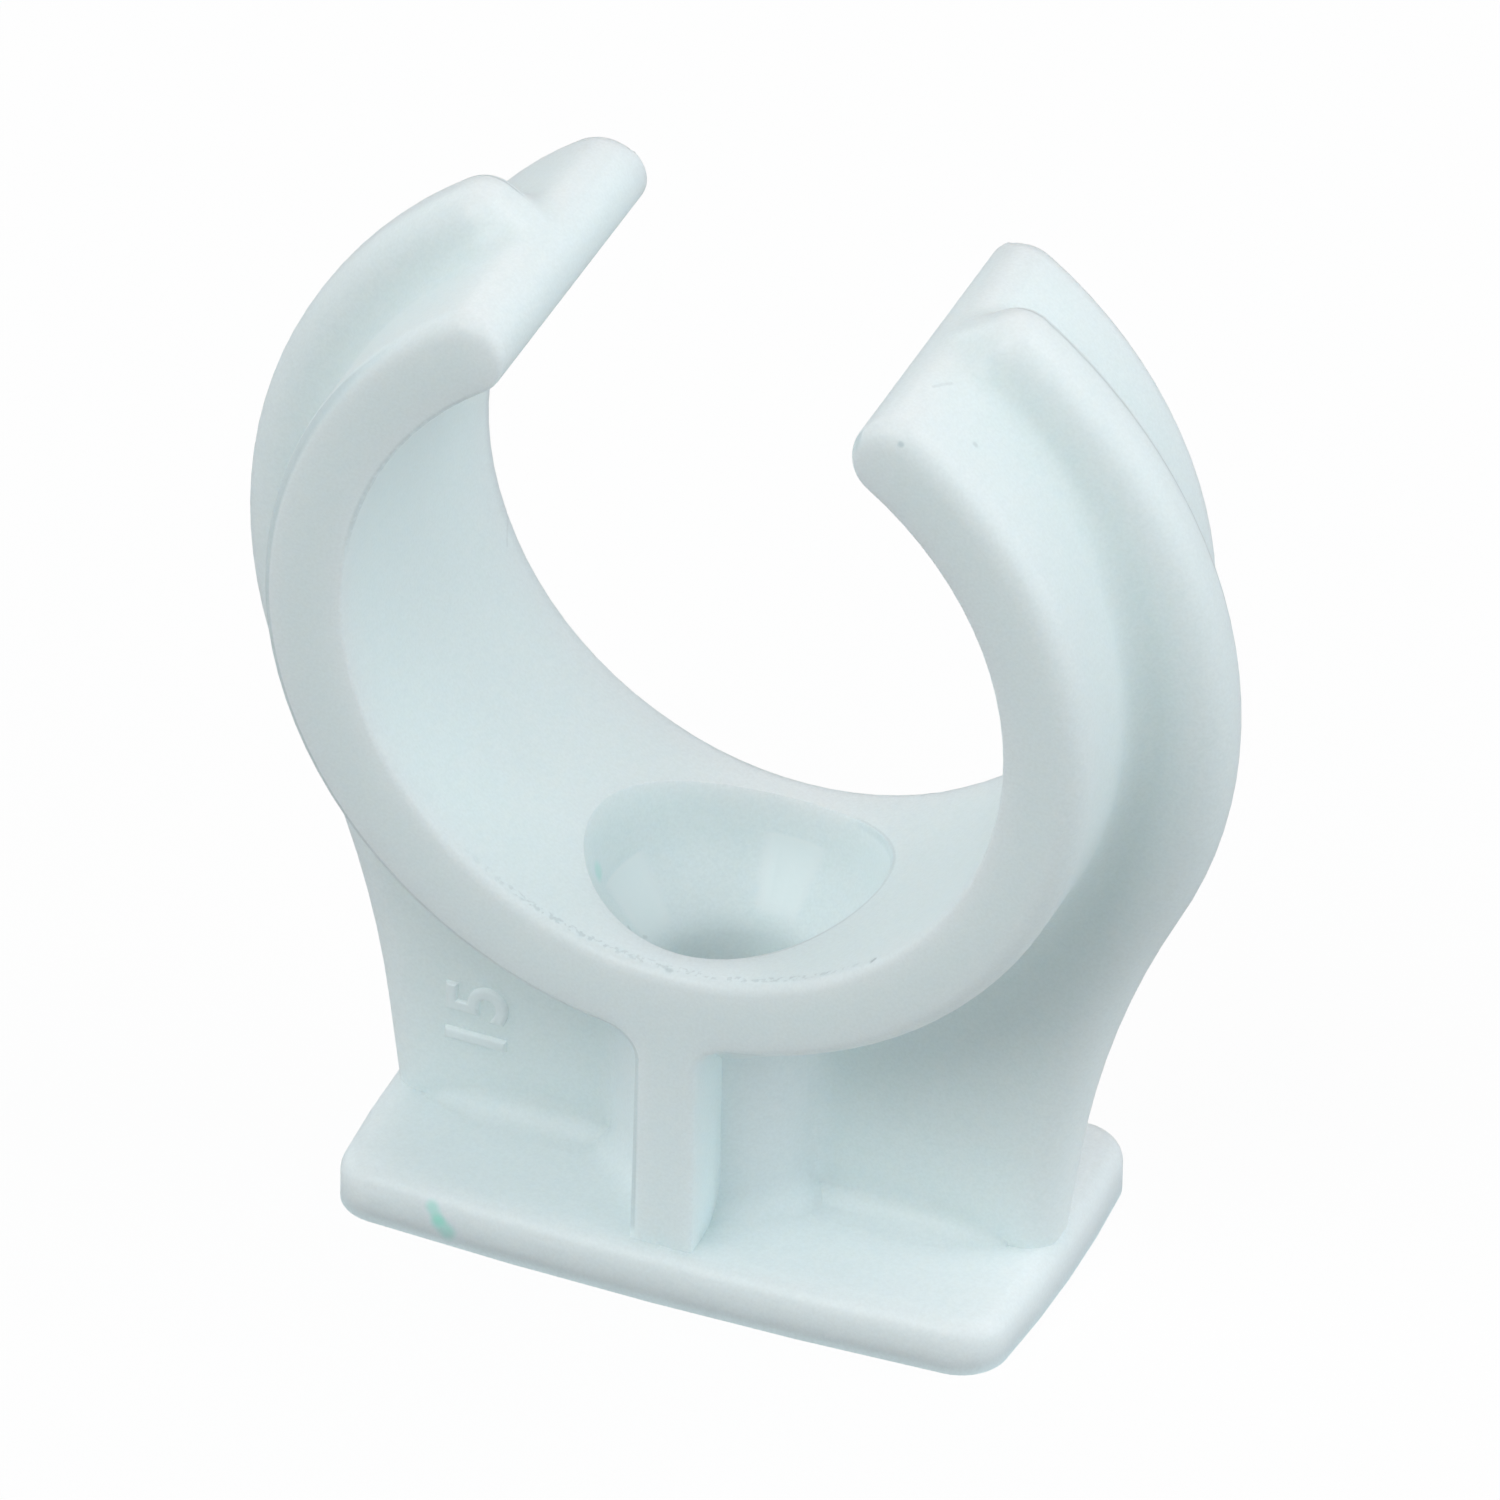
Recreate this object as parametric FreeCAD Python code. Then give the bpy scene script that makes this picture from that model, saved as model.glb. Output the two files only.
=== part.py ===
"""Open pipe clip for a 15 mm pipe, moulded in one piece.

Millimetres.  Z points up from the wall, Y runs along the pipe, X across it.
The origin is the middle of the underside of the foot, on the screw's axis.
"""
import FreeCAD, Part
import math
import os

# Pipe and ring
PIPE_RADIUS = 7.5
RING_WALL = 1.82
RING_DEPTH = 7.87
PIPE_HEIGHT = 15.76
MOUTH_ANGLE = 55.0      # where the lip's rounding starts, measured from +X

# Middle web and the rib that it becomes around the arms
WEB_HALF = 0.91
CREST_RADIUS = 11.2
CREST_DROP = 0.75       # the crest's circle sits this much below the pipe's axis
FOOT_HALF_WIDTH = 7.63
NECK_LEAN = 7.7         # degrees off the vertical
NECK_RADIUS = 21.5
TIP_SLOPE = 31.0        # degrees above the horizontal
TIP_ROUND = 0.9
WEB_EDGE_ROUND = 0.8
RIB_BLEND = 0.8

# Foot
FOOT_HALF_LENGTH = 7.57
FOOT_HALF_DEPTH = 4.14
FOOT_SIDE_BULGE = 0.24
FOOT_FRONT_BULGE = 0.27
BOW_CHORDS = 4
FOOT_THICKNESS = 1.18
FOOT_CORNER = 1.08
FOOT_EDGE_ROUND = 0.5
FOOT_BLEND = 1.0
FOOT_BLEND_FADE = (     # distance from the web's end, share of the full radius
    (0.1, 0.2),
    (0.6, 0.55),
    (1.3, 0.85),
    (2.2, 1.0),
)

# Gussets in front of and behind the web
GUSSET_HALF = 0.71
GUSSET_BLEND = 0.8

# Screw hole and its boss
BOSS_RADIUS = 2.5
BOSS_FLARE_RADIUS = 3.6
BOSS_FLARE_DROP = 1.15  # from the ring's underside down to where the flare starts
BOSS_BLEND = 1.0        # hollow blends from the boss into the web and the foot
SKIRT_CHORDS = 3
HOLE_RADIUS = 1.8
HEAD_RADIUS = 2.9
HEAD_DROP = 0.85        # from the pipe's seat down to the cone for the head
CONE_DEPTH = 1.6
WELL_TAPER = 0.25       # growth of the well's radius for each mm upwards

OVERRUN = 2.0           # how far cutting shapes reach past the material
SINK = 0.02             # keeps rounded ends just inside the shape they join

RING_RADIUS = PIPE_RADIUS + RING_WALL
RING_UNDERSIDE = PIPE_HEIGHT - RING_RADIUS
HEAD_FLOOR = PIPE_HEIGHT - PIPE_RADIUS - HEAD_DROP
X_AXIS = FreeCAD.Vector(1, 0, 0)
Y_AXIS = FreeCAD.Vector(0, 1, 0)
Z_AXIS = FreeCAD.Vector(0, 0, 1)


def at(x, z, y=0.0):
    """Point given across the pipe, up from the wall and along the pipe."""
    return FreeCAD.Vector(x, y, z)


def polar(radius, degrees, centre_z=PIPE_HEIGHT):
    """Point at an angle from +X on a circle around the pipe's axis."""
    angle = math.radians(degrees)
    return at(radius * math.cos(angle), centre_z + radius * math.sin(angle))


def mirrored(point):
    return FreeCAD.Vector(-point.x, point.y, point.z)


def turned(point, x_sign, y_sign):
    """Same point in another quarter of the plan."""
    return FreeCAD.Vector(point.x * x_sign, point.y * y_sign, point.z)


def arc(start, middle, end):
    return Part.Arc(start, middle, end).toShape()


def line(start, end):
    return Part.LineSegment(start, end).toShape()


def middle_of(edge):
    return edge.valueAt((edge.FirstParameter + edge.LastParameter) / 2)


def prism(edges, y_start, y_end):
    """Solid between two depths from a closed outline drawn across the pipe."""
    face = Part.Face(Part.Wire(Part.__sortEdges__(edges)))
    face.translate(Y_AXIS * y_start)
    return face.extrude(Y_AXIS * (y_end - y_start))


def upright(radius, z_low, z_high):
    return Part.makeCylinder(radius, z_high - z_low, at(0, z_low), Z_AXIS)


def lip_centre():
    return polar(PIPE_RADIUS + RING_WALL / 2, MOUTH_ANGLE)


def gusset_curve():
    """Hollow curve from the gusset's side into the ring: low, middle, high."""
    reach = RING_RADIUS + GUSSET_BLEND
    centre_x = GUSSET_HALF + GUSSET_BLEND
    centre_z = PIPE_HEIGHT - math.sqrt(reach ** 2 - centre_x ** 2)
    centre = at(centre_x, centre_z)
    low = at(GUSSET_HALF, centre_z)
    high = centre + (at(0, PIPE_HEIGHT) - centre).normalize() * GUSSET_BLEND
    middle_way = (low + high) * 0.5 - centre
    middle = centre + middle_way.normalize() * GUSSET_BLEND
    return low, middle, high


def ring():
    """Open band with rounded lips, and the gusset that carries it."""
    half_depth = RING_DEPTH / 2
    tangent = math.radians(MOUTH_ANGLE + 90)
    inner = polar(PIPE_RADIUS, MOUTH_ANGLE)
    outer = polar(RING_RADIUS, MOUTH_ANGLE)
    nose = lip_centre() + at(math.cos(tangent), math.sin(tangent)) * (RING_WALL / 2)
    low, middle, high = gusset_curve()
    sole = at(GUSSET_HALF, FOOT_THICKNESS / 2)
    half_outline = [
        (arc, inner, nose, outer),
        (arc, outer, polar(RING_RADIUS, 0), high),
        (arc, high, middle, low),
        (line, low, sole),
    ]
    edges = [arc(inner, polar(PIPE_RADIUS, -90), mirrored(inner))]
    edges.append(line(sole, mirrored(sole)))
    for shape, *points in half_outline:
        edges.append(shape(*points))
        edges.append(shape(*[mirrored(point) for point in points]))
    return prism(edges, -half_depth, half_depth)


def neck_curve():
    """Hollow curve that leads the crest's circle into the leaning neck.

    Returns the point where it leaves the neck, its middle point and the point
    where it meets the crest's circle.
    """
    lean = math.radians(NECK_LEAN)
    along = at(math.sin(lean), math.cos(lean))
    outward = at(math.cos(lean), -math.sin(lean))
    foot = at(FOOT_HALF_WIDTH, FOOT_THICKNESS)
    crest = at(0, PIPE_HEIGHT - CREST_DROP)
    reach = CREST_RADIUS + NECK_RADIUS
    offset = foot + outward * NECK_RADIUS - crest
    half = offset.dot(along)
    step = -half - math.sqrt(half ** 2 - offset.dot(offset) + reach ** 2)
    centre = crest + offset + along * step
    low = foot + along * step
    high = crest + (centre - crest) * (CREST_RADIUS / reach)
    middle_way = (low + high) * 0.5 - centre
    middle = centre + middle_way.normalize() * NECK_RADIUS
    return low, middle, high


def tip_curve():
    """Rounded end of the rib above the lip.

    Returns the start of the slope on the lip, both ends of the rounding with
    its middle, and a point on the crest's circle just after it.
    """
    slope = math.radians(TIP_SLOPE)
    along = at(math.cos(slope), math.sin(slope))
    outward = at(-math.sin(slope), math.cos(slope))
    start = lip_centre() + outward * (RING_WALL / 2 - SINK)
    crest = at(0, PIPE_HEIGHT - CREST_DROP)
    reach = CREST_RADIUS - TIP_ROUND
    offset = start - outward * TIP_ROUND - crest
    half = offset.dot(along)
    step = -half + math.sqrt(half ** 2 - offset.dot(offset) + reach ** 2)
    centre = crest + offset + along * step
    low = start + along * step
    high = crest + (centre - crest) * (CREST_RADIUS / reach)
    middle_way = (low + high) * 0.5 - centre
    middle = centre + middle_way.normalize() * TIP_ROUND
    return start, low, middle, high


def web():
    """Middle plate: neck and ribs in one outline, with rounded outer edges."""
    neck_low, neck_middle, neck_high = neck_curve()
    tip_start, tip_low, tip_middle, tip_high = tip_curve()
    lip = lip_centre()
    crest_z = PIPE_HEIGHT - CREST_DROP
    side = at(CREST_RADIUS, crest_z)
    foot = at(FOOT_HALF_WIDTH, FOOT_THICKNESS)
    sole = at(FOOT_HALF_WIDTH - FOOT_EDGE_ROUND, FOOT_THICKNESS / 2)
    half_outline = [
        (line, lip, tip_start),
        (line, tip_start, tip_low),
        (arc, tip_low, tip_middle, tip_high),
        (arc, tip_high, side, neck_high),
        (arc, neck_high, neck_middle, neck_low),
        (line, neck_low, foot),
        (line, foot, sole),
    ]
    edges = []
    for shape, *points in half_outline:
        edges.append(shape(*points))
        edges.append(shape(*[mirrored(point) for point in points]))
    bottom = polar(PIPE_RADIUS + RING_WALL / 2, -90)
    edges.append(arc(lip, bottom, mirrored(lip)))
    edges.append(line(sole, mirrored(sole)))
    plate = prism(edges, -WEB_HALF, WEB_HALF)
    return plate.makeFillet(WEB_EDGE_ROUND, web_outer_edges(plate))


def axis_distance(point):
    """Distance from the pipe's axis."""
    return math.hypot(point.x, point.z - PIPE_HEIGHT)


def web_outer_edges(plate):
    """Long edges of the plate's faces, outside the ring and above the foot."""
    found = []
    for edge in plate.Edges:
        middle = middle_of(edge)
        on_face = edge.BoundBox.YLength < SINK and abs(middle.y) > WEB_HALF / 2
        outside = axis_distance(middle) > RING_RADIUS
        if on_face and outside and middle.z > FOOT_THICKNESS:
            found.append(edge)
    return found


def bow(start, middle, end):
    """Gently bowed side of the foot, drawn as a chain of short chords."""
    points = arc(start, middle, end).discretize(BOW_CHORDS + 1)
    return Part.makePolygon(points).Edges


def bow_radius(half_length, bulge):
    return (half_length ** 2 + bulge ** 2) / (2 * bulge)


def foot():
    """Mounting plate with gently bowed sides, flat underneath."""
    side_radius = bow_radius(FOOT_HALF_DEPTH, FOOT_SIDE_BULGE)
    front_radius = bow_radius(FOOT_HALF_LENGTH, FOOT_FRONT_BULGE)
    side = FreeCAD.Vector(FOOT_HALF_LENGTH + FOOT_SIDE_BULGE, 0, 0)
    front = FreeCAD.Vector(0, FOOT_HALF_DEPTH + FOOT_FRONT_BULGE, 0)
    side_centre = side - X_AXIS * side_radius
    front_centre = front - Y_AXIS * front_radius
    side_reach = side_radius - FOOT_CORNER
    front_reach = front_radius - FOOT_CORNER
    # the corner's centre lies at both reaches from the two centres
    base = front_centre - side_centre
    span = base.Length
    along = (side_reach ** 2 - front_reach ** 2 + span ** 2) / (2 * span)
    off = math.sqrt(side_reach ** 2 - along ** 2)
    unit = base / span
    corner = side_centre + unit * along + FreeCAD.Vector(-unit.y, unit.x, 0) * off
    side_end = corner + (corner - side_centre).normalize() * FOOT_CORNER
    front_end = corner + (corner - front_centre).normalize() * FOOT_CORNER
    corner_way = (side_end + front_end) * 0.5 - corner
    corner_middle = corner + corner_way.normalize() * FOOT_CORNER
    edges = []
    for sign in (1, -1):
        side_points = (turned(side_end, 1, -1), side, side_end)
        edges += bow(*[turned(point, sign, 1) for point in side_points])
        front_points = (turned(front_end, -1, 1), front, front_end)
        edges += bow(*[turned(point, 1, sign) for point in front_points])
    for x_sign in (1, -1):
        for y_sign in (1, -1):
            points = (side_end, corner_middle, front_end)
            edges.append(arc(*[turned(point, x_sign, y_sign) for point in points]))
    outline = Part.Wire(Part.__sortEdges__(edges))
    plate = Part.Face(outline).extrude(Z_AXIS * FOOT_THICKNESS)
    top_edges = [edge for edge in plate.Edges if edge.BoundBox.ZMin > FOOT_THICKNESS / 2]
    return plate.makeFillet(FOOT_EDGE_ROUND, top_edges)


def boss_top():
    return RING_UNDERSIDE + RING_WALL / 2


def boss():
    """Sleeve around the screw, wider where it meets the ring."""
    top = boss_top()
    flare_low = RING_UNDERSIDE - BOSS_FLARE_DROP
    flare_height = BOSS_FLARE_RADIUS - BOSS_RADIUS
    sleeve = upright(BOSS_RADIUS, FOOT_THICKNESS / 2, top)
    flare = Part.makeCone(
        BOSS_RADIUS,
        BOSS_FLARE_RADIUS,
        flare_height,
        at(0, flare_low),
        Z_AXIS,
    )
    collar = upright(BOSS_FLARE_RADIUS, flare_low + flare_height, top)
    return sleeve.fuse([flare, collar])


def hollow_curve(wall, radius):
    """Hollow quarter circle from a wall down to the top of the foot.

    It is drawn in the plane X = 0, with the wall at the given Y.
    """
    near = wall - SINK
    low = FOOT_THICKNESS - SINK
    bend = radius * (1 - math.sqrt(0.5))
    start = at(0, FOOT_THICKNESS + radius, near)
    return arc(start, at(0, low + bend, near + bend), at(0, low, wall + radius))


def hollow_corner(wall, radius, curves):
    """Closed outline of a hollow blend, with its curve given as a list of edges."""
    top = FOOT_THICKNESS + radius
    low = FOOT_THICKNESS - SINK
    under = FOOT_THICKNESS / 2
    far = wall + radius
    edges = curves + [
        line(at(0, low, far), at(0, under, far)),
        line(at(0, under, far), at(0, under, wall / 2)),
        line(at(0, under, wall / 2), at(0, top, wall / 2)),
        line(at(0, top, wall / 2), at(0, top, wall - SINK)),
    ]
    return Part.Wire(edges)


def boss_skirt():
    """Hollow blend all around the boss, down to the foot, drawn in short chords."""
    points = hollow_curve(BOSS_RADIUS, BOSS_BLEND).discretize(SKIRT_CHORDS + 1)
    chords = Part.makePolygon(points).Edges
    face = Part.Face(hollow_corner(BOSS_RADIUS, BOSS_BLEND, chords))
    return face.revolve(FreeCAD.Vector(), Z_AXIS, 360)


def boss_corners():
    """Upright hollow blends between the boss and both faces of the web."""
    centre_y = WEB_HALF + BOSS_BLEND
    reach = BOSS_RADIUS + BOSS_BLEND
    centre = FreeCAD.Vector(math.sqrt(reach ** 2 - centre_y ** 2), centre_y, 0)
    on_web = FreeCAD.Vector(centre.x, WEB_HALF - SINK, 0)
    on_boss = centre * ((BOSS_RADIUS - SINK) / reach)
    middle_way = (on_web + on_boss) * 0.5 - centre
    middle = centre + middle_way.normalize() * BOSS_BLEND
    in_boss = centre * ((HOLE_RADIUS + BOSS_RADIUS) / 2 / reach)
    in_web = FreeCAD.Vector(centre.x, WEB_HALF / 2, 0)
    in_corner = FreeCAD.Vector(BOSS_RADIUS, WEB_HALF / 2, 0)
    edges = [
        arc(on_web, middle, on_boss),
        line(on_boss, in_boss),
        line(in_boss, in_corner),
        line(in_corner, in_web),
        line(in_web, on_web),
    ]
    face = Part.Face(Part.Wire(edges))
    face.translate(Z_AXIS * FOOT_THICKNESS / 2)
    corner = face.extrude(Z_AXIS * (boss_top() - FOOT_THICKNESS / 2))
    pair = [corner, corner.mirror(FreeCAD.Vector(), X_AXIS)]
    return pair + [shape.mirror(FreeCAD.Vector(), Y_AXIS) for shape in pair]


def web_blends():
    """Hollow blends along both faces of the web, fading out at its ends."""
    end_x = FOOT_HALF_WIDTH - WEB_EDGE_ROUND
    half_sections = []
    for inset, share in FOOT_BLEND_FADE:
        radius = FOOT_BLEND * share
        section = hollow_corner(WEB_HALF, radius, [hollow_curve(WEB_HALF, radius)])
        section.translate(FreeCAD.Vector(end_x - inset, 0, 0))
        half_sections.append(section)
    other_half = [section.mirror(FreeCAD.Vector(), X_AXIS) for section in half_sections]
    sections = half_sections + other_half[::-1]
    back = Part.makeLoft(sections, True, True)
    front = back.mirror(FreeCAD.Vector(), Y_AXIS)
    return [back, front]


def screw_cut():
    """Straight hole, cone for the screw's head and the well above it."""
    cone_low = HEAD_FLOOR - CONE_DEPTH
    hole = upright(HOLE_RADIUS, -OVERRUN, cone_low)
    cone = Part.makeCone(HOLE_RADIUS, HEAD_RADIUS, CONE_DEPTH, at(0, cone_low), Z_AXIS)
    well_height = PIPE_RADIUS / 2
    well = Part.makeCone(
        HEAD_RADIUS,
        HEAD_RADIUS + WELL_TAPER * well_height,
        well_height,
        at(0, HEAD_FLOOR),
        Z_AXIS,
    )
    return hole.fuse([cone, well])


def bore_cut():
    start = at(0, PIPE_HEIGHT, -RING_DEPTH)
    return Part.makeCylinder(PIPE_RADIUS, 2 * RING_DEPTH, start, Y_AXIS)


def ring_seam(body):
    """Edges where the web's faces meet the outside of the ring."""
    found = []
    for edge in body.Edges:
        middle = middle_of(edge)
        on_ring = abs(axis_distance(middle) - RING_RADIUS) < SINK
        on_web = abs(abs(middle.y) - WEB_HALF) < SINK
        if on_ring and on_web and edge.Length > RING_RADIUS:
            found.append(edge)
    return found


def clip():
    arms = ring().fuse(web()).removeSplitter()
    arms = arms.makeFillet(RIB_BLEND, ring_seam(arms))
    body = arms.fuse([foot(), boss()] + web_blends())
    body = body.fuse(boss_skirt()).fuse(boss_corners()).removeSplitter()
    return body.cut(bore_cut()).cut(screw_cut())


def main():
    os.makedirs("parts", exist_ok=True)
    body = clip()
    body.exportStep("parts/pipe_clip.step")
    print(body.isValid(), body.Volume, len(body.Solids), body.BoundBox)


if __name__ == "__main__":
    main()
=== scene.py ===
"""Looks of the pipe clip: white, slightly translucent moulded plastic on a pale floor."""
import math
from contextlib import contextmanager

import bmesh
import bpy
from mathutils import Euler, Matrix, Vector

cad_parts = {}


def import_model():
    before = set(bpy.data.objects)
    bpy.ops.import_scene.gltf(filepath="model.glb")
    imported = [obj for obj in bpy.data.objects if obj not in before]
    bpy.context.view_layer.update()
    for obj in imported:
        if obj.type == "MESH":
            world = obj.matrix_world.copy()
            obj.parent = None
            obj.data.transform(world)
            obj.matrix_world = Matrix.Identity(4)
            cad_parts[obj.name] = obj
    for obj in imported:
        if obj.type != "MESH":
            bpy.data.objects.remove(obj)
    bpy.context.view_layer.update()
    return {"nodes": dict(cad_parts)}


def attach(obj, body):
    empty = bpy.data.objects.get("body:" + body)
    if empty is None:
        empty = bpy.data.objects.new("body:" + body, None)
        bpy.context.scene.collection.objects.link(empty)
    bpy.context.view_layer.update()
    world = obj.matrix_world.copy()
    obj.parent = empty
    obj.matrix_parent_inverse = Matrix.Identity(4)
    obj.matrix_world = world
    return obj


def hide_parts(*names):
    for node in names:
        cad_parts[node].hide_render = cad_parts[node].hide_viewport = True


MM = 0.001

# Photograph's camera, fitted to the part
CAMERA_PLACE = (0.156886, -0.383625, 0.303912)
CAMERA_TURN = (54.7945, -0.9229, 22.8646)
CAMERA_LENS = 576.576
CAMERA_CLIP = (0.05, 20.0)
SENSOR = 36.0

# Places on the part, in mm
PIPE_RADIUS = 7.5
PIPE_HEIGHT = 15.76
RING_HALF_DEPTH = 3.935
RING_WALL = 1.82
WEB_FRONT = -0.91
HOLE_RADIUS = 1.8
HOLE_RIM = 5.81             # height where the screw's hole meets its cone
WELL_START = 2.9            # radius of the well at its floor
WELL_FLOOR = 7.41
WELL_TOP = 10.0
WELL_TAPER = 0.25           # growth of the well's radius for each mm upwards

# Rounding of rims in mm, the same on the front and the back end face
BORE_ROUND = 0.07           # bore's rims at the sides
SEAT_ROUND = 0.3            # bore's rims at the bottom
SEAT_FADE = (2.5, 7.5)      # mm below the axis where the one turns into the other
CRISP_ROUND = 0.2           # outer rims at the lower left
OUTER_ROUND = 0.6           # outer rims at the upper right, and the largest of all
HEIGHT_WEIGHT = 1.2         # of a mm upwards against a mm to the right
SIDE_REACH = 10.0           # mm to either side where the outer rims reach these two
HOLE_ROUND = 0.3            # rim of the screw's hole
HOLE_NEAR = (0.02, 0.05)    # that rim's edges lie this near in height and in radius
ROUND_STEPS = 4
ROUND_PROFILE = 0.5

SHARP_ANGLE = math.radians(32)
FLAT_ANGLE = math.radians(0.5)
WELD = 0.0005

# Raised size number
NUMBER_TEXT = "15"
NUMBER_PLACE = (-4.93, WEB_FRONT, 2.48)
NUMBER_TILT = math.radians(-1)
NUMBER_SIZE = 1.95
NUMBER_THINNING = 0.05      # taken off all round, before the bevel adds to it
NUMBER_EXTRUSION = 0.02
NUMBER_BEVEL = 0.10
NUMBER_BEVEL_STEPS = 3
NUMBER_BOX = ((-6.8, -4.3), (2.3, 4.8))
NUMBER_BOX_SOFT = 0.1
NUMBER_RISE = (0.01, 0.04)  # mm in front of the web where its own look fades in
NUMBER_SCATTER = 0.45       # share of scattering on it
# share of painted highlight on the raised number, towards the pale colour
NUMBER_PAINTED_HIGHLIGHT = 0.5

# Plastic
PLASTIC_COLOUR = (0.88, 0.985, 1.0)
SCATTER_COLOUR = (1.0, 0.95, 0.9)
SCATTER_MM = 1.3
LOWEST_SCATTER = 0.1        # share of scattering left at the foot's lower edge
SCATTER_RISE = 0.3          # mm above the floor where the scattering is full again
ROUGHNESS = 0.42
REFRACTION = 1.49
# Noise size for each mm, detail, darkest and lightest share of the colour
MOTTLING = (2.6, 4.0, (0.985, 1.0))
GRIT = (14.0, 1.0, (0.95, 1.0))
TONE_ROUGHNESS = 0.65
TONE_CUT = (0.3, 0.7)       # noise levels of the darkest and the lightest tone
GRAIN_SCALE = 9.0
GRAIN_DETAIL = 3.0
GRAIN_ROUGHNESS = 0.6
GRAIN_STRENGTH = 0.3
GRAIN_HEIGHT = 0.01         # mm

# Small marks: start and end in mm, radius in mm, colour, share of that colour
DARK = (0.20, 0.24, 0.25)
TEAL = (0.30, 0.86, 0.66)
MARKS = (
    ((-0.02, -3.72, 8.26), (0.02, -3.72, 8.26), 0.10, DARK, 0.30),
    ((4.61, -3.72, 9.85), (4.65, -3.70, 9.87), 0.10, DARK, 0.50),
    ((3.44, -3.62, 9.10), (3.52, -3.64, 9.14), 0.09, DARK, 0.20),
    ((2.34, -3.92, 8.60), (2.44, -3.92, 8.62), 0.07, DARK, 0.15),
    ((-2.28, -0.51, 6.58), (-2.20, -0.51, 6.50), 0.07, DARK, 0.20),
    ((-2.05, -0.18, 6.19), (-2.00, -0.10, 6.16), 0.07, DARK, 0.20),
    ((6.18, -2.60, 22.74), (6.20, -2.60, 22.72), 0.09, DARK, 0.22),
    ((5.02, -3.86, 23.20), (5.04, -3.86, 23.19), 0.09, DARK, 0.30),
    ((5.02, -2.10, 23.54), (5.26, -1.71, 23.44), 0.06, DARK, 0.13),
    ((-7.05, 3.93, 13.21), (-6.84, 3.41, 12.70), 0.07, DARK, 0.11),
    ((-5.16, -4.25, 0.88), (-4.98, -4.29, 0.60), 0.22, TEAL, 0.45),
    ((-4.96, -4.29, 0.52), (-4.78, -4.30, 0.36), 0.30, TEAL, 0.50),
    ((-2.96, -0.62, 7.96), (-2.94, -0.55, 7.85), 0.28, TEAL, 0.25),
)
MARK_CORE = 0.2             # share of a mark's radius within which it is full

# Specks low on the bore's front rim, and painted shade: an uneven dark line along that rim
# on its left
RIM_BAND = 0.12             # mm from the rim that both reach
BAND_CORE = 0.4             # share of that within which they are full
SPECK_AND_SHADE_SCALE = 7.5
SPECK_AND_SHADE_DETAIL = 2.0
SPECK_CUT = (0.50, 0.62)    # noise levels between which specks appear
SPECK_HEIGHTS = (8.6, 10.4)  # specks fade out between these heights
SPECK_DARKNESS = 0.22
LINE_HEIGHTS = (16.6, 18.0)  # line fades in between these heights
LINE_SIDE = (-3.6, -5.0)    # and between these places across
LINE_CUT = (0.35, 0.55)     # noise levels where it is weakest and full
LINE_WEAKEST = 0.6
# darkness of the painted shade line
LINE_SHADE = 0.25

# Painted light: pale windows in the screw's cone, where web and gusset stand behind its
# wall, standing in for light that comes through the plastic
WINDOW_RADIUS = 3.05
WINDOW_RADIUS_SOFT = 0.05
WINDOW_HEIGHTS = (5.9, 7.42)
WINDOW_RISE = 0.35          # mm over which they fade in from below
WINDOW_TOP_SOFT = 0.04
WEB_WINDOW = (0.13, 0.25)   # middle and half width, as shares of the distance from the axis
GUSSET_WINDOW = (0.06, 0.23)
WINDOW_SIDE_SOFT = 0.06
# colour of the painted light, in the cone's windows and on the raised number
PAINTED_LIGHT_COLOUR = (0.93, 1.0, 1.0)
WINDOW_SCATTER = 0.0        # share of scattering in the windows

# Darker lines: the rib's parting line, and painted shade along the front rims, the bore's
# back rim and the well's rim. A pair gives where the line fades in: none at the first, full
# at the second
# painted shade on the front rims that face left or down
RIM_SHADE = 0.3          # front rims that face left or down
RIM_LEAN = 0.6              # weight of facing down against facing left
RIM_FACING = (-0.15, -0.4)
RIM_AHEAD = (-0.02, -0.2)
RIM_DEPTHS = (-3.66, -3.74)
RIM_HEIGHTS = (1.3, 1.6)
RIM_RADII = (PIPE_RADIUS + 0.4, PIPE_RADIUS + 0.8)
SEAM_DARKNESS = 0.3         # parting line along the rib's crest
SEAM_PLACE = 0.42           # mm behind the middle
SEAM_HALF_WIDTH = 0.02
SEAM_SOFT = 0.05
SEAM_RADII = (9.6, 9.9)
SEAM_HEIGHTS = (16.0, 18.0)
# painted shade on the bore's back rim
BACK_SHADE = 0.2         # bore's back rim
BACK_DEPTHS = (RING_HALF_DEPTH - 0.4, RING_HALF_DEPTH)
BACK_RADII = (PIPE_RADIUS + 0.3, PIPE_RADIUS + 0.1)
# painted shade along the well's rim
WELL_SHADE = 0.17        # well's rim on the right
WELL_LINE_WIDTH = 0.03
WELL_LINE_SOFT = 0.05
WELL_SIDE = (1.2, 2.2)
WELL_RADII = (PIPE_RADIUS + 0.2, PIPE_RADIUS + 0.1)
WELL_HEIGHTS = (WELL_FLOOR + 0.3, WELL_TOP)  # lowest and highest place of that line
WELL_HEIGHTS_SOFT = 0.2

# Light
WORLD_STRENGTH = 0.01
PLAIN = (0.98, 1.0, 1.0)
WARM = (1.10, 1.0, 1.0)
COOL = (0.84, 1.0, 1.05)
LAMP_SPREAD = math.radians(40)
LAMPS = (                   # degrees to the camera's right, degrees up, strength, colour
    (316, 50, 0.438, PLAIN),
    (90, 52, 0.245, WARM),
    (45, 26, 0.26, COOL),
    (90, 10, 0.225, COOL),
    (270, 10, 0.205, COOL),
    (225, 12, 0.205, COOL),
    (135, 10, 0.10, COOL),
    (180, 45, 0.155, WARM),
)

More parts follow.
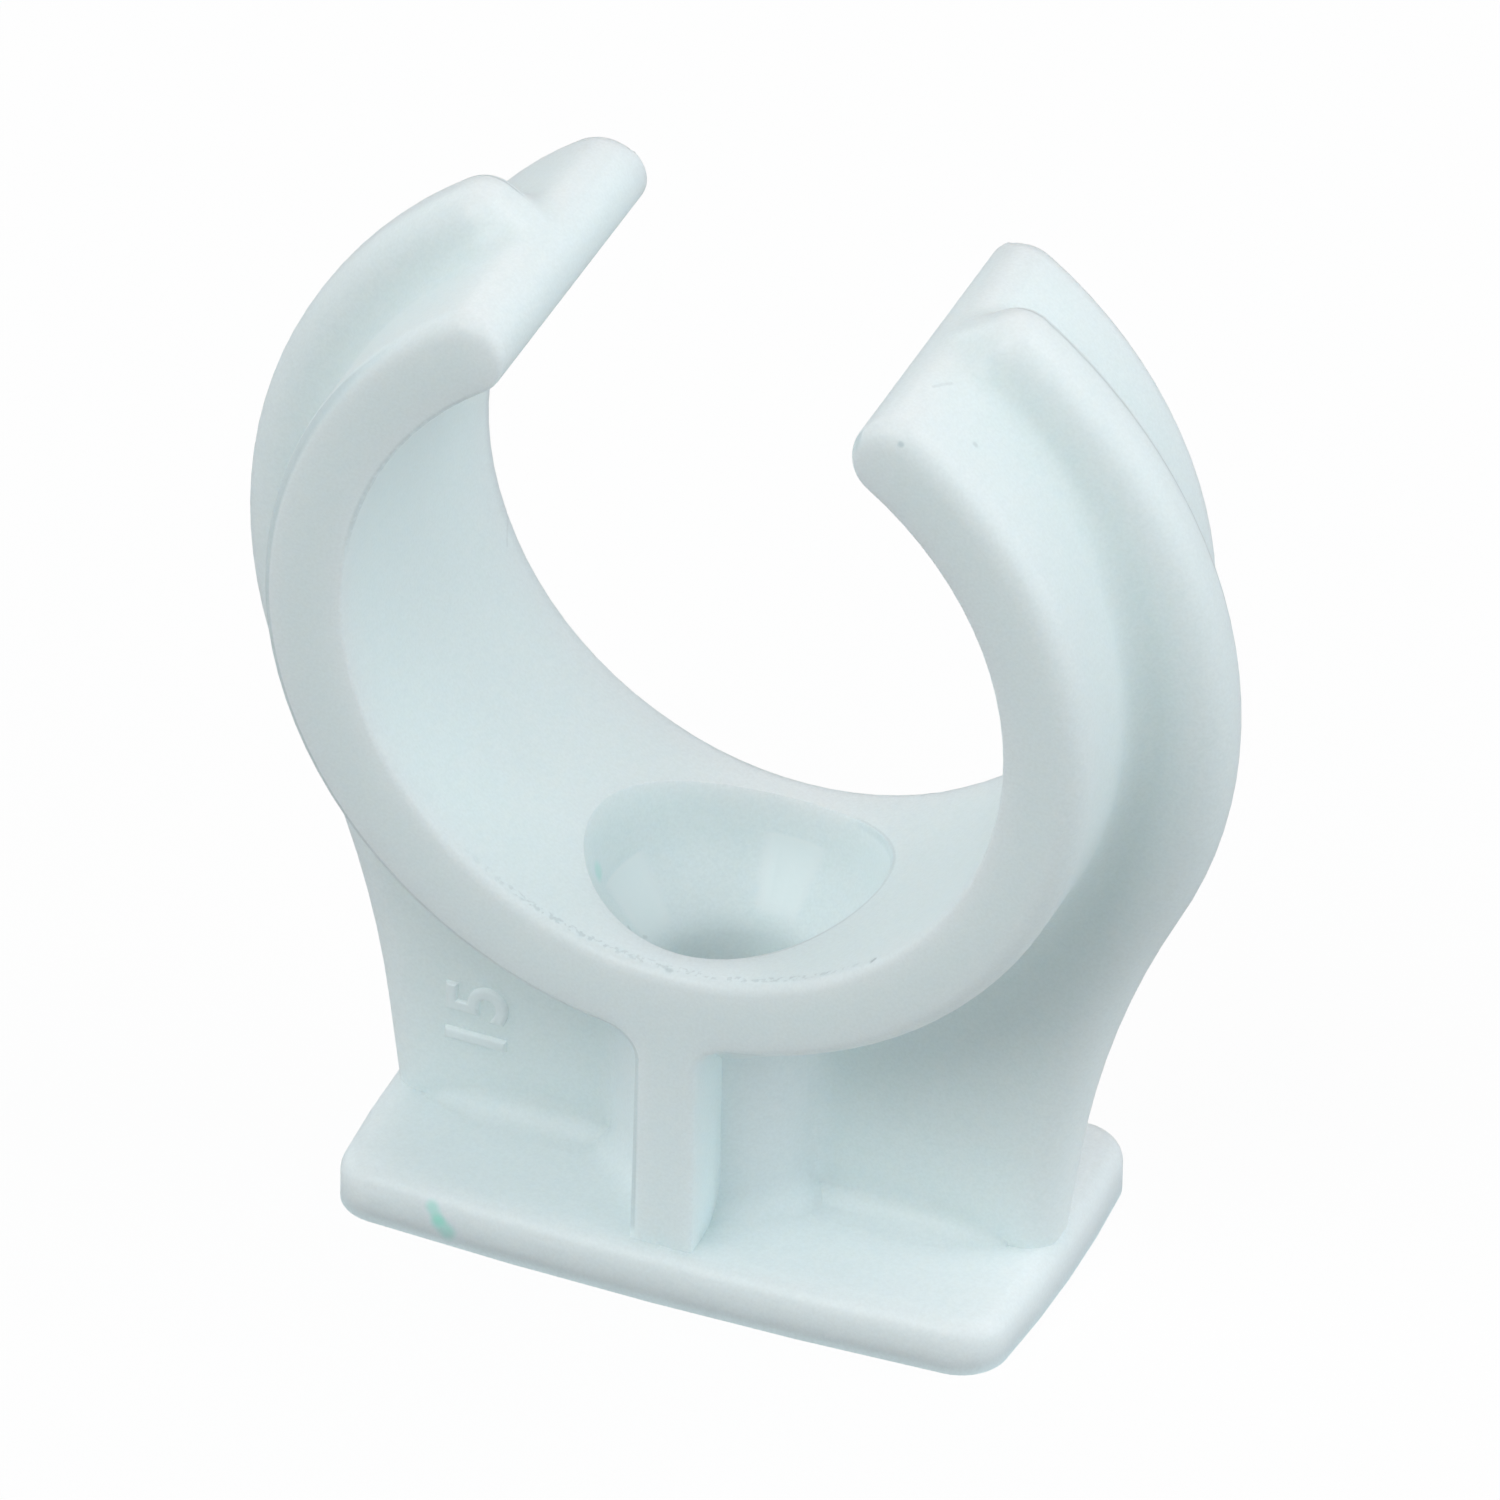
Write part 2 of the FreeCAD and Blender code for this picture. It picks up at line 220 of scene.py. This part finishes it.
# Floor
FLOOR_SIZE = 6.0            # m
FLOOR_COLOUR = 0.9
NEAR_BOUNCE = 0.62          # how pale it is to the part's own light, close by
FAR_BOUNCE = 0.4
NEAR_REACH = (8.5, 16.0)    # mm from the middle where the one turns into the other
FLOOR_SHADE = 0.05          # share of its real shading that the camera sees


def node(tree, kind, **values):
    """New node; a value goes to its input or to its own setting."""
    made = tree.nodes.new(kind)
    for name, value in values.items():
        if hasattr(made, name):
            setattr(made, name, value)
        else:
            made.inputs[name.replace("_", " ")].default_value = value
    return made


def fade(tree, value, start, end, smoothed=True):
    """0 up to the start and 1 from the end on; the end may be the smaller one."""
    made = node(tree, "ShaderNodeMapRange")
    if smoothed:
        made.interpolation_type = "SMOOTHSTEP"
    falling = end < start
    made.inputs["From Min"].default_value = min(start, end)
    made.inputs["From Max"].default_value = max(start, end)
    made.inputs["To Min"].default_value = 1.0 if falling else 0.0
    made.inputs["To Max"].default_value = 0.0 if falling else 1.0
    tree.links.new(value, made.inputs["Value"])
    return made.outputs["Result"]


def calculated(tree, operation, *values, clamped=False):
    """Result of a Math node on outputs or plain numbers."""
    made = node(tree, "ShaderNodeMath", operation=operation, use_clamp=clamped)
    for socket, value in zip(made.inputs, values):
        if isinstance(value, (int, float)):
            socket.default_value = value
        else:
            tree.links.new(value, socket)
    return made.outputs[0]


def product(tree, *masks):
    """Mask of the places where all the given masks hold."""
    made = masks[0]
    for mask in masks[1:]:
        made = calculated(tree, "MULTIPLY", made, mask)
    return made


def between(tree, value, low, high, soft):
    """Mask of the values from low to high, with soft ends."""
    return product(
        tree,
        fade(tree, value, low - soft, low),
        fade(tree, value, high + soft, high),
    )


def distance(tree, first, second):
    """Length of the way that goes the first value along and the second one across."""
    square = calculated(tree, "MULTIPLY", second, second)
    both = calculated(tree, "MULTIPLY_ADD", first, first, square)
    return calculated(tree, "SQRT", both)


def from_pipe(tree, across, up):
    """Distance from the pipe's axis."""
    return distance(tree, across, calculated(tree, "SUBTRACT", up, PIPE_HEIGHT))


def vector(tree, operation, first, second):
    """Vector Math node on an output and either an output or plain numbers."""
    made = node(tree, "ShaderNodeVectorMath", operation=operation)
    tree.links.new(first, made.inputs[0])
    if isinstance(second, tuple):
        made.inputs[1].default_value = second
    else:
        tree.links.new(second, made.inputs[1])
    return made.outputs


def separated(tree, value):
    """The three parts of a vector."""
    split = node(tree, "ShaderNodeSeparateXYZ")
    tree.links.new(value, split.inputs[0])
    return split.outputs


def noise(tree, place, scale, detail, **values):
    """Noise in the part's own mm."""
    made = node(tree, "ShaderNodeTexNoise", Scale=scale, Detail=detail, **values)
    tree.links.new(place, made.inputs["Vector"])
    return made.outputs["Fac"]


def mixed(tree, colour, other, share):
    """Colour turned towards another one where the share is above 0."""
    made = node(tree, "ShaderNodeMix", data_type="RGBA")
    tree.links.new(share, made.inputs["Factor"])
    tree.links.new(colour, made.inputs["A"])
    made.inputs["B"].default_value = (*other, 1.0)
    return made.outputs["Result"]


def stroke(tree, place, start, end, radius):
    """Mask of a short straight mark between two points."""
    way = tuple(b - a for a, b in zip(start, end))
    square = sum(part * part for part in way)
    offset = vector(tree, "SUBTRACT", place, start)["Vector"]
    along = vector(tree, "DOT_PRODUCT", offset, way)["Value"]
    share = calculated(tree, "MULTIPLY", along, 1 / square, clamped=True)
    nearest = node(tree, "ShaderNodeVectorMath", operation="SCALE")
    nearest.inputs[0].default_value = way
    tree.links.new(share, nearest.inputs["Scale"])
    away = vector(tree, "DISTANCE", offset, nearest.outputs["Vector"])["Value"]
    return fade(tree, away, radius, radius * MARK_CORE)


def rim_specks_and_shade(tree, place, across, along, up):
    """Darkness of the specks low on the bore's front rim and of the painted shade line on
    its left.
    """
    inward = calculated(tree, "SUBTRACT", from_pipe(tree, across, up), PIPE_RADIUS)
    bands = []
    for depth in (RING_HALF_DEPTH, RING_HALF_DEPTH - SEAT_ROUND):
        behind = calculated(tree, "ADD", along, depth)
        away = distance(tree, inward, behind)
        bands.append(fade(tree, away, RIM_BAND, RIM_BAND * BAND_CORE))
    rim, seat = bands
    speck_and_shade_noise = noise(tree, place, SPECK_AND_SHADE_SCALE, SPECK_AND_SHADE_DETAIL)

    picked = fade(tree, speck_and_shade_noise, *SPECK_CUT)
    low = fade(tree, up, SPECK_HEIGHTS[1], SPECK_HEIGHTS[0])
    specks = product(tree, seat, picked, low)
    specks = calculated(tree, "MULTIPLY", specks, SPECK_DARKNESS)

    # painted shade: an uneven dark line along the rim on its upper left
    uneven = fade(tree, speck_and_shade_noise, *LINE_CUT)
    uneven = calculated(tree, "MULTIPLY_ADD", uneven, 1 - LINE_WEAKEST, LINE_WEAKEST)
    left = fade(tree, across, *LINE_SIDE)
    high = fade(tree, up, *LINE_HEIGHTS)
    line = product(tree, rim, left, high, uneven)
    return calculated(tree, "MULTIPLY_ADD", line, LINE_SHADE, specks)


def painted_light_windows(tree, across, along, up):
    """Mask of the painted light in the screw's cone: pale parts that stand in for light
    coming through its wall.
    """
    radius = distance(tree, across, along)
    inside = fade(tree, radius, WINDOW_RADIUS + WINDOW_RADIUS_SOFT, WINDOW_RADIUS)
    bottom, top = WINDOW_HEIGHTS
    low = fade(tree, up, bottom, bottom + WINDOW_RISE)
    high = fade(tree, up, top + WINDOW_TOP_SOFT, top - WINDOW_TOP_SOFT)
    sides = []
    for axis, (middle, half) in ((along, WEB_WINDOW), (across, GUSSET_WINDOW)):
        turned = calculated(tree, "DIVIDE", axis, radius)
        offset = calculated(tree, "SUBTRACT", turned, middle)
        aside = calculated(tree, "ABSOLUTE", offset)
        sides.append(fade(tree, aside, half + WINDOW_SIDE_SOFT, half - WINDOW_SIDE_SOFT))
    either = calculated(tree, "MAXIMUM", *sides)
    return product(tree, inside, low, high, either)


def front_rim_shade(tree, along, up, radius):
    """Mask of painted shade on the front rims that face left or down."""
    normal = node(tree, "ShaderNodeNewGeometry").outputs["Normal"]
    aside, ahead, upward = separated(tree, normal)
    facing = calculated(tree, "MULTIPLY_ADD", upward, RIM_LEAN, aside)
    return product(
        tree,
        fade(tree, facing, *RIM_FACING),
        fade(tree, ahead, *RIM_AHEAD),
        fade(tree, along, *RIM_DEPTHS),
        fade(tree, up, *RIM_HEIGHTS),
        fade(tree, radius, *RIM_RADII),
    )


def rib_seam(tree, along, up, radius):
    """Mask of the parting line along the rib's crest."""
    low, high = SEAM_PLACE - SEAM_HALF_WIDTH, SEAM_PLACE + SEAM_HALF_WIDTH
    return product(
        tree,
        between(tree, along, low, high, SEAM_SOFT),
        fade(tree, radius, *SEAM_RADII),
        fade(tree, up, *SEAM_HEIGHTS),
    )


def back_rim_shade(tree, along, radius):
    """Mask of painted shade on the bore's back rim."""
    return product(
        tree,
        fade(tree, along, *BACK_DEPTHS),
        fade(tree, radius, *BACK_RADII),
    )


def well_rim_shade(tree, across, along, up, radius):
    """Mask of a thin painted shade line along the well's rim, on the right."""
    growth = calculated(tree, "MULTIPLY_ADD", up, -WELL_TAPER, WELL_TAPER * WELL_FLOOR)
    start = calculated(tree, "ADD", distance(tree, across, along), growth)
    return product(
        tree,
        between(tree, start, WELL_START, WELL_START + WELL_LINE_WIDTH, WELL_LINE_SOFT),
        fade(tree, across, *WELL_SIDE),
        fade(tree, radius, *WELL_RADII),
        between(tree, up, *WELL_HEIGHTS, WELL_HEIGHTS_SOFT),
    )


def seam_and_painted_rim_shade(tree, across, along, up):
    """Darkness of the rib's parting line, and of painted shade along well, bore and front
    rims.
    """
    radius = from_pipe(tree, across, up)
    shade = calculated(tree, "MULTIPLY", rib_seam(tree, along, up, radius), SEAM_DARKNESS)
    for mask, darkness in (
        (well_rim_shade(tree, across, along, up, radius), WELL_SHADE),
        (back_rim_shade(tree, along, radius), BACK_SHADE),
        (front_rim_shade(tree, along, up, radius), RIM_SHADE),
    ):
        shade = calculated(tree, "MULTIPLY_ADD", mask, darkness, shade)
    return shade


def on_number(tree, across, along, up):
    """Mask of the raised number's surface."""
    (left, right), (bottom, top) = NUMBER_BOX
    start, end = NUMBER_RISE
    return product(
        tree,
        fade(tree, along, WEB_FRONT - start, WEB_FRONT - end),
        between(tree, across, left, right, NUMBER_BOX_SOFT),
        between(tree, up, bottom, top, NUMBER_BOX_SOFT),
    )


def mottled(tree, place):
    """Plastic's colour with its mottling and fine grit."""
    tone = None
    for scale, detail, (darkest, lightest) in (MOTTLING, GRIT):
        level = noise(tree, place, scale, detail, Roughness=TONE_ROUGHNESS)
        share = fade(tree, level, *TONE_CUT, smoothed=False)
        level = calculated(tree, "MULTIPLY_ADD", share, lightest - darkest, darkest)
        tone = level if tone is None else calculated(tree, "MULTIPLY", tone, level)
    scaled = node(tree, "ShaderNodeVectorMath", operation="SCALE")
    scaled.inputs[0].default_value = PLASTIC_COLOUR
    tree.links.new(tone, scaled.inputs["Scale"])
    return scaled.outputs["Vector"]


def grain(tree, place):
    """Normal of a finely uneven surface."""
    height = noise(tree, place, GRAIN_SCALE, GRAIN_DETAIL, Roughness=GRAIN_ROUGHNESS)
    bumps = node(tree, "ShaderNodeBump")
    bumps.inputs["Strength"].default_value = GRAIN_STRENGTH
    bumps.inputs["Distance"].default_value = GRAIN_HEIGHT * MM
    tree.links.new(height, bumps.inputs["Height"])
    return bumps.outputs["Normal"]


def plastic():
    """White moulded plastic that lets light a little way in."""
    material = bpy.data.materials.new("white plastic")
    material.use_nodes = True
    tree = material.node_tree
    shader = tree.nodes["Principled BSDF"]
    link = tree.links.new
    coordinates = node(tree, "ShaderNodeTexCoord")
    scaled = node(tree, "ShaderNodeVectorMath", operation="SCALE")
    scaled.inputs["Scale"].default_value = 1 / MM
    link(coordinates.outputs["Object"], scaled.inputs[0])
    place = scaled.outputs["Vector"]
    across, along, up = separated(tree, place)

    number = on_number(tree, across, along, up)
    # painted light in the cone, standing in for light through its wall
    window_light = painted_light_windows(tree, across, along, up)
    # painted highlight on the raised number
    faint = calculated(tree, "MULTIPLY", number, NUMBER_PAINTED_HIGHLIGHT)
    pale = calculated(tree, "MAXIMUM", window_light, faint)
    # painted light: the cone's windows and the number's highlight, both in the pale colour
    colour = mixed(tree, mottled(tree, place), PAINTED_LIGHT_COLOUR, pale)
    # the rib's parting line, and painted shade along well, bore and front rims
    colour = mixed(tree, colour, DARK, seam_and_painted_rim_shade(tree, across, along, up))
    # specks on the rim, and painted shade along its upper left
    colour = mixed(tree, colour, DARK, rim_specks_and_shade(tree, place, across, along, up))
    for start, end, radius, tint, share in MARKS:
        mask = stroke(tree, place, start, end, radius)
        colour = mixed(tree, colour, tint, calculated(tree, "MULTIPLY", mask, share))
    link(colour, shader.inputs["Base Color"])
    link(grain(tree, place), shader.inputs["Normal"])
    shader.inputs["Roughness"].default_value = ROUGHNESS
    shader.inputs["IOR"].default_value = REFRACTION

    rise = fade(tree, up, 0.0, SCATTER_RISE)
    weight = calculated(tree, "MULTIPLY_ADD", rise, 1 - LOWEST_SCATTER, LOWEST_SCATTER)
    for mask, share in ((number, NUMBER_SCATTER), (window_light, WINDOW_SCATTER)):
        kept = calculated(tree, "MULTIPLY_ADD", mask, share - 1, 1.0)
        weight = calculated(tree, "MULTIPLY", weight, kept)
    link(weight, shader.inputs["Subsurface Weight"])
    shader.inputs["Subsurface Radius"].default_value = SCATTER_COLOUR
    shader.inputs["Subsurface Scale"].default_value = SCATTER_MM * MM
    return material


@contextmanager
def edited(mesh):
    """Mesh as a BMesh, written back at the end of the block."""
    work = bmesh.new()
    work.from_mesh(mesh)
    yield work
    work.to_mesh(mesh)
    work.free()


def apply_modifiers(made):
    """Modifiers of an object turned into its own mesh."""
    graph = bpy.context.evaluated_depsgraph_get()
    made.data = bpy.data.meshes.new_from_object(made.evaluated_get(graph))
    made.modifiers.clear()


def copied(part, name):
    """New object with a copy of the part's mesh, its seams closed and its flats merged."""
    mesh = part.data.copy()
    mesh.materials.clear()
    if "custom_normal" in mesh.attributes:
        mesh.attributes.remove(mesh.attributes["custom_normal"])
    with edited(mesh) as work:
        bmesh.ops.remove_doubles(work, verts=work.verts, dist=WELD * MM)
        bmesh.ops.dissolve_limit(
            work, angle_limit=FLAT_ANGLE, verts=work.verts, edges=work.edges
        )
    made = bpy.data.objects.new(name, mesh)
    bpy.context.scene.collection.objects.link(made)
    return made


def limited(value):
    """Number kept between 0 and 1."""
    return min(max(value, 0.0), 1.0)


def towards(first, second, share):
    """First number at share 0, second one at share 1."""
    return first + (second - first) * share


def rim_share(edge):
    """Rounding of an edge as a share of the largest one, and 0 where it isn't a rim."""
    if len(edge.link_faces) != 2 or not edge.is_convex:
        return 0.0
    middle = (edge.verts[0].co + edge.verts[1].co) / (2 * MM)
    near_height, near_radius = HOLE_NEAR
    aside = math.hypot(middle.x, middle.y) - HOLE_RADIUS
    if abs(middle.z - HOLE_RIM) < near_height and abs(aside) < near_radius:
        return HOLE_ROUND / OUTER_ROUND
    if edge.calc_face_angle() < SHARP_ANGLE:
        return 0.0
    if any(abs(abs(vert.co.y) / MM - RING_HALF_DEPTH) > WELD for vert in edge.verts):
        return 0.0
    height = middle.z - PIPE_HEIGHT
    outward = limited((math.hypot(middle.x, height) - PIPE_RADIUS) / RING_WALL)
    side = limited((middle.x + HEIGHT_WEIGHT * height + SIDE_REACH) / (2 * SIDE_REACH))
    outer = towards(CRISP_ROUND, OUTER_ROUND, side)
    start, end = SEAT_FADE
    low = limited((-height - start) / (end - start))
    inner = towards(BORE_ROUND, SEAT_ROUND, low)
    return towards(inner, outer, outward) / OUTER_ROUND


def round_rims(shell):
    """Rims of the end faces and of the screw's hole rounded, each by its own amount."""
    with edited(shell.data) as work:
        weight = work.edges.layers.float.new("bevel_weight_edge")
        for edge in work.edges:
            edge[weight] = rim_share(edge)
    rounding = shell.modifiers.new("rims", "BEVEL")
    rounding.limit_method = "WEIGHT"
    rounding.width = OUTER_ROUND * MM
    rounding.segments = ROUND_STEPS
    rounding.profile = ROUND_PROFILE
    rounding.use_clamp_overlap = False
    apply_modifiers(shell)


def size_number():
    """Raised size number on the web, lying on its side with its top to the left."""
    curve = bpy.data.curves.new("size_number", "FONT")
    curve.body = NUMBER_TEXT
    curve.size = NUMBER_SIZE * MM
    curve.offset = -NUMBER_THINNING * MM
    curve.extrude = NUMBER_EXTRUSION * MM
    curve.bevel_depth = NUMBER_BEVEL * MM
    curve.bevel_resolution = NUMBER_BEVEL_STEPS
    letters = bpy.data.objects.new("size_number", curve)
    right = Vector((0, 0, 1))
    up = Vector((-1, 0, 0))
    out = Vector((0, -1, 0))
    turn = Matrix((right, up, out)).transposed().to_4x4()
    tilt = Matrix.Rotation(NUMBER_TILT, 4, "Z")
    place = Matrix.Translation(Vector(NUMBER_PLACE) * MM)
    bpy.context.scene.collection.objects.link(letters)
    letters.matrix_world = place @ turn @ tilt
    return letters


def join_number(shell, letters):
    """Letters grown onto the shell, and their own object removed."""
    solid_letters = bpy.data.meshes.new_from_object(letters)
    solid_letters.transform(letters.matrix_world)
    with edited(solid_letters) as work:
        bmesh.ops.remove_doubles(work, verts=work.verts, dist=WELD * MM)
    helper = bpy.data.objects.new("number_solid", solid_letters)
    bpy.context.scene.collection.objects.link(helper)
    union = shell.modifiers.new("size number", "BOOLEAN")
    union.operation = "UNION"
    union.solver = "EXACT"
    union.object = helper
    apply_modifiers(shell)
    bpy.data.objects.remove(helper)
    bpy.data.objects.remove(letters)


def smooth(shell):
    """Smooth shading, broken at real corners only; flat faces stay flat to their rims."""
    with edited(shell.data) as work:
        for face in work.faces:
            face.smooth = True
        for edge in work.edges:
            inner = len(edge.link_faces) == 2
            edge.smooth = inner and edge.calc_face_angle() < SHARP_ANGLE
    normals = shell.modifiers.new("normals", "WEIGHTED_NORMAL")
    normals.mode = "FACE_AREA"
    normals.keep_sharp = True
    apply_modifiers(shell)


def camera_sees(tree, seen, other):
    """Shader with one output for the camera and another one for all other rays."""
    ray = node(tree, "ShaderNodeLightPath")
    mix = node(tree, "ShaderNodeMixShader")
    tree.links.new(ray.outputs["Is Camera Ray"], mix.inputs["Fac"])
    tree.links.new(other, mix.inputs[1])
    tree.links.new(seen, mix.inputs[2])
    return mix.outputs[0]


def floor():
    """Pale floor: white to the camera with a faint shadow, dimmer to the part."""
    bpy.ops.mesh.primitive_plane_add(size=FLOOR_SIZE, location=(0, 0, 0))
    made = bpy.context.object
    made.name = "floor"
    material = bpy.data.materials.new("pale floor")
    material.use_nodes = True
    tree = material.node_tree
    tree.nodes.clear()
    link = tree.links.new

    position = node(tree, "ShaderNodeNewGeometry").outputs["Position"]
    away = node(tree, "ShaderNodeVectorMath", operation="LENGTH")
    link(position, away.inputs[0])
    start, end = NEAR_REACH
    far = fade(tree, away.outputs["Value"], start * MM, end * MM)
    change = FAR_BOUNCE - NEAR_BOUNCE
    bounce = node(tree, "ShaderNodeBsdfDiffuse")
    link(
        calculated(tree, "MULTIPLY_ADD", far, change, NEAR_BOUNCE),
        bounce.inputs["Color"],
    )

    matt = node(tree, "ShaderNodeBsdfDiffuse")
    matt.inputs["Color"].default_value = (FLOOR_COLOUR, FLOOR_COLOUR, FLOOR_COLOUR, 1)
    white = node(tree, "ShaderNodeEmission", Strength=1.0)
    seen = node(tree, "ShaderNodeMixShader")
    seen.inputs["Fac"].default_value = 1 - FLOOR_SHADE
    link(matt.outputs[0], seen.inputs[1])
    link(white.outputs[0], seen.inputs[2])

    out = node(tree, "ShaderNodeOutputMaterial")
    link(camera_sees(tree, seen.outputs[0], bounce.outputs[0]), out.inputs["Surface"])
    made.data.materials.append(material)
    return made


def world():
    """White to the camera, and a little light from all sides to the part."""
    made = bpy.data.worlds.new("studio")
    bpy.context.scene.world = made
    made.use_nodes = True
    tree = made.node_tree
    tree.nodes.clear()
    sides = []
    for strength in (1.0, WORLD_STRENGTH):
        side = node(tree, "ShaderNodeBackground", Strength=strength)
        side.inputs["Color"].default_value = (1, 1, 1, 1)
        sides.append(side.outputs[0])
    out = node(tree, "ShaderNodeOutputWorld")
    tree.links.new(camera_sees(tree, *sides), out.inputs["Surface"])


def lamp(number, azimuth, elevation, strength, colour):
    """Soft lamp far away; at strength 1 a white face turned to it renders white."""
    name = f"lamp_{number}"
    data = bpy.data.lights.new(name, "SUN")
    data.energy = strength * math.pi
    data.angle = LAMP_SPREAD
    data.color = colour
    made = bpy.data.objects.new(name, data)
    around = math.radians(azimuth + CAMERA_TURN[2])
    up = math.radians(elevation)
    way = Vector((
        math.sin(around) * math.cos(up),
        -math.cos(around) * math.cos(up),
        math.sin(up),
    ))
    made.rotation_euler = way.to_track_quat("Z", "Y").to_euler()
    bpy.context.scene.collection.objects.link(made)


def camera():
    """Camera at the photograph's place."""
    data = bpy.data.cameras.new("photograph")
    data.lens = CAMERA_LENS
    data.sensor_width = SENSOR
    data.clip_start, data.clip_end = CAMERA_CLIP
    made = bpy.data.objects.new("photograph", data)
    made.location = CAMERA_PLACE
    made.rotation_euler = Euler([math.radians(turn) for turn in CAMERA_TURN], "XYZ")
    bpy.context.scene.collection.objects.link(made)
    bpy.context.scene.camera = made


def main():
    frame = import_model()
    scene = bpy.context.scene
    scene.view_settings.view_transform = "Standard"

    material = plastic()
    shell = copied(frame["nodes"]["pipe_clip"], "pipe_clip_shell")
    round_rims(shell)
    join_number(shell, size_number())
    smooth(shell)
    shell.data.materials.clear()
    shell.data.materials.append(material)
    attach(shell, "root")
    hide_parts("pipe_clip")

    ground = floor()
    world()
    for number, values in enumerate(LAMPS):
        lamp(number, *values)
    camera()


main()
